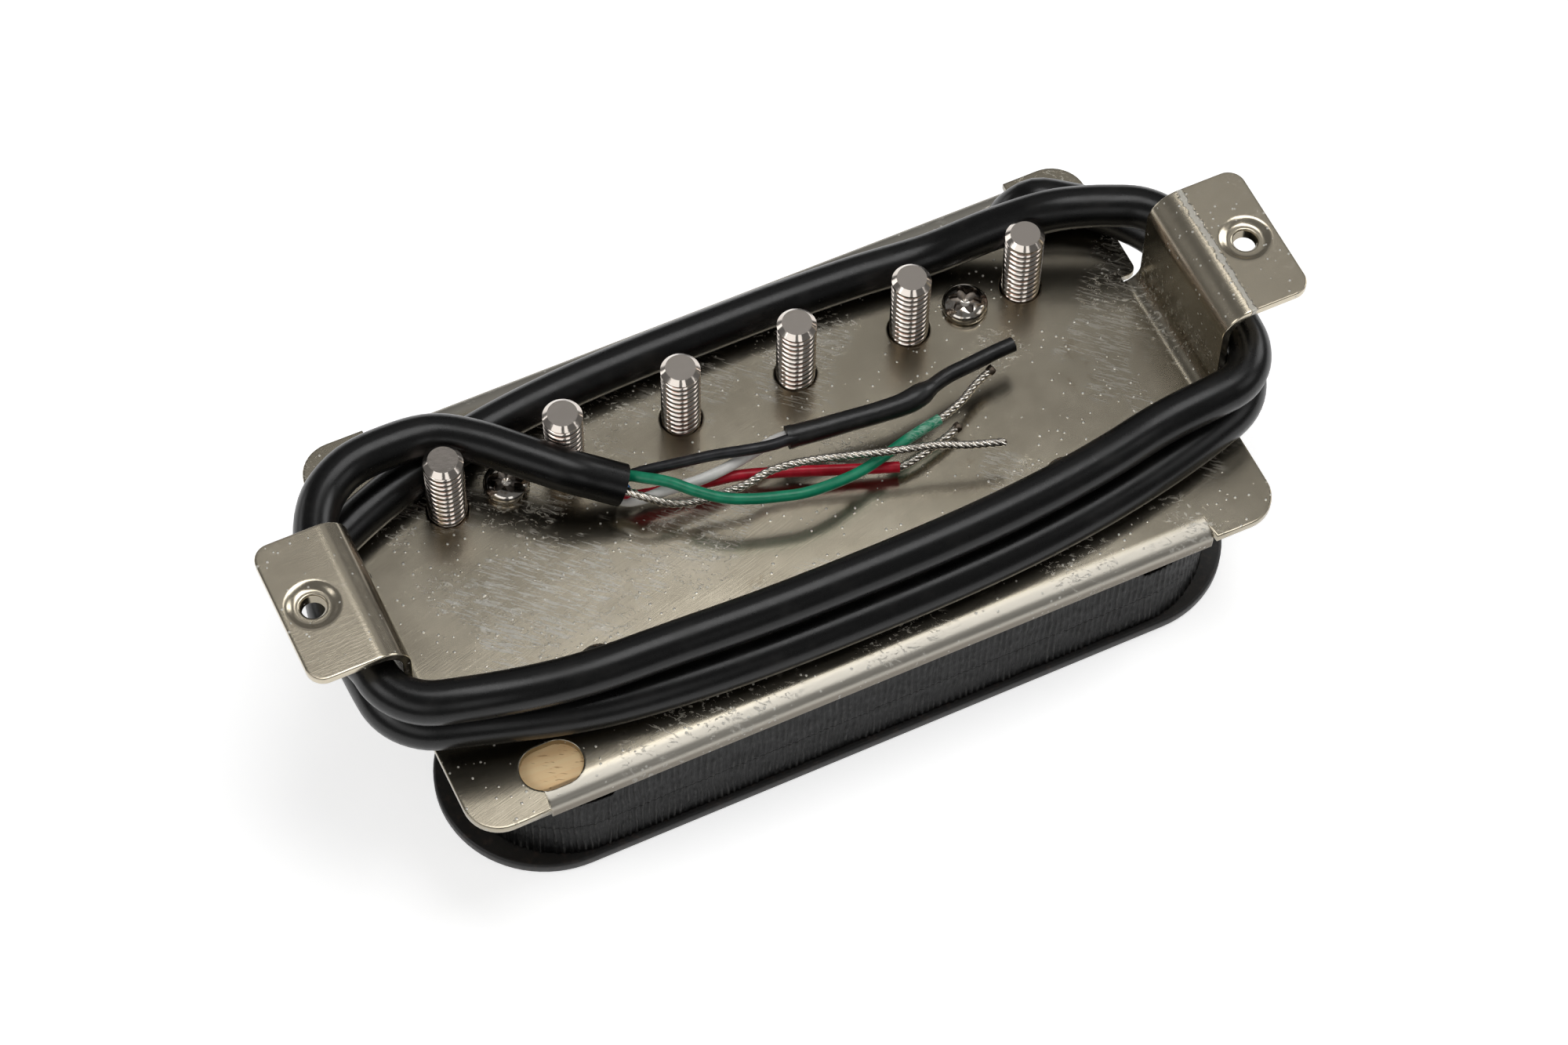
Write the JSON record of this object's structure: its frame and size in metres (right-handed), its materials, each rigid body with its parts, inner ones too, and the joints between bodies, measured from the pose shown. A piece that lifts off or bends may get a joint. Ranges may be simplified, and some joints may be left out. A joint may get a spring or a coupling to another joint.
{
  "type": "guitar pickup",
  "caption": "Twin-coil magnetic guitar pickup seen from the back: folded metal baseplate with mounting feet, adjustable pole screws, taped bobbins and a lead wound round the legs.",
  "frame": {"origin": "on the surface under the two bobbin faces, at the middle of the baseplate's length and width", "axes": "+X along the bobbins towards the lead's oval hole, +Y towards the row of adjustable pole screws, +Z from the bobbin faces to the back of the baseplate"},
  "size_m": [0.0842, 0.0374, 0.0233],
  "materials": {
    "baseplate": "rolled nickel silver sheet, half mirror, with fine scratches",
    "pole_screw": "bright nickel plating",
    "steel": "plain turned steel",
    "bobbin_screw": "bright plated steel with darker edges",
    "magnet": "rough cast magnet alloy",
    "bobbin": "moulded black plastic, satin",
    "tape": "black tape drawn tight over the winding",
    "coil_wire": "enamelled copper wire",
    "maple": "plain sawn maple",
    "jacket": "satin black jacket",
    "green_wire": "smooth insulation",
    "red_wire": "smooth insulation",
    "black_wire": "smooth insulation",
    "white_wire": "smooth insulation",
    "sleeve": "shrunk sleeve, satin",
    "tinned_strand": "tinned strands with dull solder"
  },
  "bodies": {
    "pickup": {"baseplate": "baseplate", "bobbin_screw_side": "bobbin", "bobbin_slug_side": "bobbin", "coil_screw_side": "coil_wire", "coil_slug_side": "coil_wire", "tape_screw_side": "tape", "tape_slug_side": "tape", "keeper_bar": "steel", "bar_magnet": "magnet", "maple_spacer": "maple", "slug_pole_1": "steel", "slug_pole_2": "steel", "slug_pole_3": "steel", "slug_pole_4": "steel", "slug_pole_5": "steel", "slug_pole_6": "steel", "bobbin_screw_back_left": "bobbin_screw", "bobbin_screw_back_right": "bobbin_screw", "bobbin_screw_front_left": "bobbin_screw", "bobbin_screw_front_right": "bobbin_screw", "cable_exit": "jacket", "cable_winding": "jacket", "cable_tail": "jacket", "wire_green": "green_wire", "wire_red": "red_wire", "wire_black": "black_wire", "wire_white": "white_wire", "drain_wire": "tinned_strand", "green_strand": "tinned_strand", "red_strand": "tinned_strand", "heat_shrink": "sleeve"},
    "pole_screw_1": {"pole_screw_1": "pole_screw"},
    "pole_screw_2": {"pole_screw_2": "pole_screw"},
    "pole_screw_3": {"pole_screw_3": "pole_screw"},
    "pole_screw_4": {"pole_screw_4": "pole_screw"},
    "pole_screw_5": {"pole_screw_5": "pole_screw"},
    "pole_screw_6": {"pole_screw_6": "pole_screw"}
  },
  "joints": [
    {"name": "pole_1_height", "type": "slide", "parent": "pickup", "child": "pole_screw_1", "axis": [0, 0, 1], "range_m": [-0.003, 0.0007]},
    {"name": "pole_2_height", "type": "slide", "parent": "pickup", "child": "pole_screw_2", "axis": [0, 0, 1], "range_m": [-0.003, 0.0007]},
    {"name": "pole_3_height", "type": "slide", "parent": "pickup", "child": "pole_screw_3", "axis": [0, 0, 1], "range_m": [-0.003, 0.0007]},
    {"name": "pole_4_height", "type": "slide", "parent": "pickup", "child": "pole_screw_4", "axis": [0, 0, 1], "range_m": [-0.003, 0.0007]},
    {"name": "pole_5_height", "type": "slide", "parent": "pickup", "child": "pole_screw_5", "axis": [0, 0, 1], "range_m": [-0.003, 0.0007]},
    {"name": "pole_6_height", "type": "slide", "parent": "pickup", "child": "pole_screw_6", "axis": [0, 0, 1], "range_m": [-0.003, 0.0007]}
  ]
}
